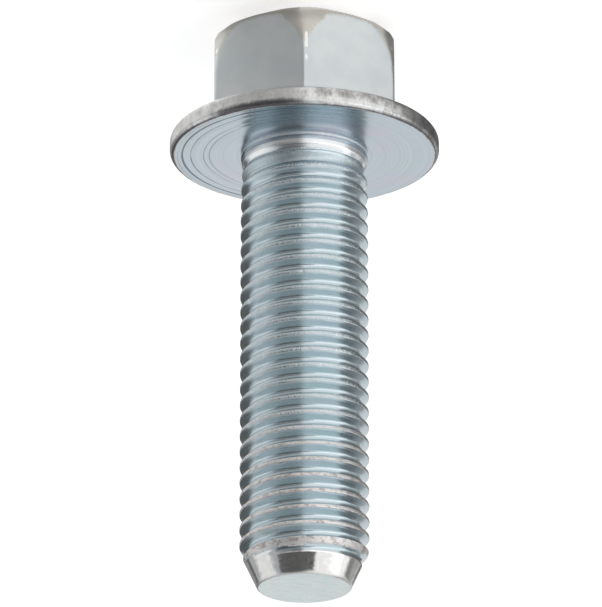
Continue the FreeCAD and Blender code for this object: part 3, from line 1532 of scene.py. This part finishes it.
@dataclass
class Studio:
    """White floor, soft panels and the camera."""

    # Camera: image in pixels, lengths in millimetres
    image_width: int = 602
    image_height: int = 607
    focal_pixels: float = 6069.8
    sight_pixel: Point = (304.36, 369.3)
    sight_height: float = 28.2
    camera_distance: float = 460.0
    camera_elevation: float = 20.56
    sensor_width: float = 36.0
    # Surroundings, in metres
    clip_range: Point = (0.01, 20.0)
    floor_size: float = 4.0
    floor_colour: Triple = (0.8, 0.8, 0.8)
    floor_glow: float = 0.65
    mirrored_glow: float = 0.42
    fill: Triple = (0.42, 0.45, 0.48)
    white: Triple = (1.0, 1.0, 1.0)
    panels: tuple[Panel, ...] = (
        Panel("panel_right", (14.0, 86.0), (-4.0, 14.0), 1.1),
        Panel("panel_right_middle", (14.0, 86.0), (14.0, 25.0), 1.6),
        Panel("panel_right_high", (24.0, 86.0), (25.0, 38.0), 0.98),
        Panel("panel_right_edge", (-2.0, 14.0), (-4.0, 14.0), 0.95),
        Panel("panel_right_fade", (-6.0, 14.0), (14.0, 25.0), 1.1),
        Panel("panel_right_top", (6.0, 104.0), (38.0, 74.0), 0.9),
        Panel("side_right", (86.0, 104.0), (-4.0, 14.0), 0.42),
        Panel("side_right_high", (86.0, 104.0), (14.0, 40.0), 1.1),
        Panel("side_right_upper", (86.0, 106.0), (40.0, 50.0), 0.7),
        Panel("side_right_far", (104.0, 134.0), (14.0, 24.0), 0.7),
        Panel("side_right_over", (104.0, 134.0), (24.0, 32.0), 0.26),
        Panel("gap_right_middle", (104.0, 158.0), (32.0, 40.0), 0.22),
        Panel("gap_right_upper", (106.0, 158.0), (40.0, 50.0), 0.18),
        Panel("gap_right", (104.0, 142.0), (-4.0, 9.0), 0.4),
        Panel("gap_right_over", (104.0, 142.0), (9.0, 14.0), 0.2),
        Panel("gap_right_high", (134.0, 158.0), (14.0, 32.0), 0.34),
        Panel("panel_back_right", (142.0, 180.0), (-4.0, 20.0), 0.8),
        Panel("panel_back_high", (158.0, 180.0), (20.0, 42.0), 0.84),
        Panel("panel_back", (-180.0, -166.0), (-4.0, 42.0), 0.86),
        Panel("gap_back_left", (-166.0, -134.0), (-4.0, 40.0), 0.12),
        Panel("panel_left", (-126.0, -76.0), (10.0, 24.0), 0.84),
        Panel("panel_left_high", (-126.0, -72.0), (24.0, 40.0), 0.86),
        Panel("panel_left_low", (-126.0, -76.0), (-4.0, 10.0), 0.42),
        Panel("panel_left_top", (-180.0, -70.0), (42.0, 52.0), 0.66),
        Panel("panel_left_roof", (-180.0, -66.0), (52.0, 72.0), 0.48),
        Panel("panel_right_back_top", (104.0, 180.0), (50.0, 74.0), 0.82),
        Panel("gap_front_low", (-62.0, -2.0), (-4.0, 14.0), 0.15),
        Panel("gap_front_band", (-60.0, -6.0), (14.0, 25.0), 0.42),
        Panel("gap_front", (-60.0, -2.0), (25.0, 58.0), 0.1),
        Panel("gap_front_right", (-2.0, 24.0), (25.0, 38.0), 0.1),
        Panel("gap_front_top", (-66.0, 0.0), (58.0, 72.0), 0.4),
        Panel("zenith_left", (-180.0, 0.0), (72.0, 90.0), 0.46),
        Panel("zenith_right", (0.0, 180.0), (74.0, 90.0), 0.66),
    )
    papers: tuple[Paper, ...] = (
        Paper("paper_front_right", (-4.0, 77.0), 0.98),
        Paper("paper_front_left", (-54.0, -4.0), 0.46),
        Paper("paper_left_edge", (-74.0, -54.0), 0.62),
        Paper("paper_left", (-134.0, -74.0), 0.78),
        Paper("paper_back_left", (-170.0, -134.0), 0.32),
        Paper("paper_back", (160.0, 190.0), 0.85),
        Paper("paper_back_right", (104.0, 160.0), 0.17),
        Paper("paper_right", (77.0, 104.0), 0.24),
        # A darker strip beside the bolt, painted shadow of the floor in the plating's reflections
        Paper("painted_shadow_right_near", (66.0, 77.0), 0.2, length=0.018, lift=0.0006),
        Paper("paper_left_near", (-134.0, -66.0), 1.0, length=0.018, lift=0.0006),
    )

    def place_camera(self) -> None:
        """Put the camera at the photographed angle, turned half round about its line of sight."""
        lift = math.radians(self.camera_elevation)
        back = self.camera_distance * math.cos(lift)
        up = self.sight_height + self.camera_distance * math.sin(lift)
        place = Vector((0.0, -back, up)) * MM
        data = bpy.data.cameras.new("camera")
        data.sensor_fit = "AUTO"
        data.sensor_width = self.sensor_width
        data.lens = self.focal_pixels * self.sensor_width / max(self.image_width, self.image_height)
        data.clip_start, data.clip_end = self.clip_range
        camera = bpy.data.objects.new("camera", data)
        bpy.context.scene.collection.objects.link(camera)
        camera.rotation_mode = "QUATERNION"
        camera.location = place
        upright = (Vector((0.0, 0.0, self.sight_height * MM)) - place).to_track_quat("-Z", "Y")
        rolled = upright @ Quaternion((0.0, 0.0, 1.0), math.pi)
        across = (self.sight_pixel[0] - self.image_width / 2.0) / self.focal_pixels
        down = (self.sight_pixel[1] - self.image_height / 2.0) / self.focal_pixels
        swing = Quaternion((0.0, 1.0, 0.0), math.atan(across))
        nod = Quaternion((1.0, 0.0, 0.0), math.atan(down))
        camera.rotation_quaternion = rolled @ swing @ nod
        bpy.context.scene.camera = camera

    def floor_material(self) -> bpy.types.Material:
        """Make the white of the floor, which glows for the camera and, less, where it is mirrored.

        Returns:
            The new material.
        """
        material = bpy.data.materials.new("floor_white")
        wiring = Wiring(material)
        seen, glossy, through = (
            wiring.result("ShaderNodeLightPath", ray, {})
            for ray in ("Is Camera Ray", "Is Glossy Ray", "Is Transmission Ray")
        )
        mirrored = wiring.combine("MULTIPLY", wiring.combine("MAXIMUM", glossy, through), self.mirrored_glow)
        level = wiring.combine("MULTIPLY_ADD", seen, self.floor_glow, mirrored)
        diffuse = wiring.result("ShaderNodeBsdfDiffuse", "BSDF", {"Color": self.floor_colour})
        glow = wiring.result("ShaderNodeEmission", "Emission", {"Strength": level})
        both = wiring.result("ShaderNodeAddShader", "Shader", {0: diffuse, 1: glow})
        wiring.show("ShaderNodeOutputMaterial", both)
        return material

    def lay_floor(self) -> None:
        """Lay the white floor under the crown."""
        deselect_all()
        bpy.ops.mesh.primitive_plane_add(size=self.floor_size)
        floor = bpy.context.object
        floor.name = "floor"
        floor.data.materials.append(self.floor_material())

    def light_world(self) -> None:
        """Fill the surroundings with an even soft grey, and show the camera white."""
        world = bpy.data.worlds.new("studio")
        bpy.context.scene.world = world
        wiring = Wiring(world)
        seen = wiring.result("ShaderNodeLightPath", "Is Camera Ray", {})
        fill, white = (
            wiring.result("ShaderNodeBackground", "Background", {"Color": colour})
            for colour in (self.fill, self.white)
        )
        pick = wiring.result("ShaderNodeMixShader", "Shader", {"Fac": seen, 1: fill, 2: white})
        wiring.show("ShaderNodeOutputWorld", pick)

    def build(self) -> None:
        """Set up the floor, the surroundings, the panels and papers, and the camera."""
        self.lay_floor()
        self.light_world()
        for sheet in (*self.panels, *self.papers):
            sheet.build()
        self.place_camera()
        bpy.context.scene.view_settings.view_transform = "Standard"


def main() -> None:
    """Build the bolt and its studio."""
    logging.basicConfig(level=logging.INFO, format="%(message)s")
    flange_bolt = FlangeBolt(ForgedHead(), RolledThread(), ConedPoint())
    bolt = flange_bolt.build()
    flange_bolt.dress(bolt, Finishes())
    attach(bolt, "root")
    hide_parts("flange_bolt")
    triangles = sum(len(face.vertices) - 2 for face in bolt.data.polygons)
    log.info("bolt: %d vertices, %d triangles", len(bolt.data.vertices), triangles)
    Studio().build()
    log.info("studio: ready")


if __name__ == "__main__":
    main()
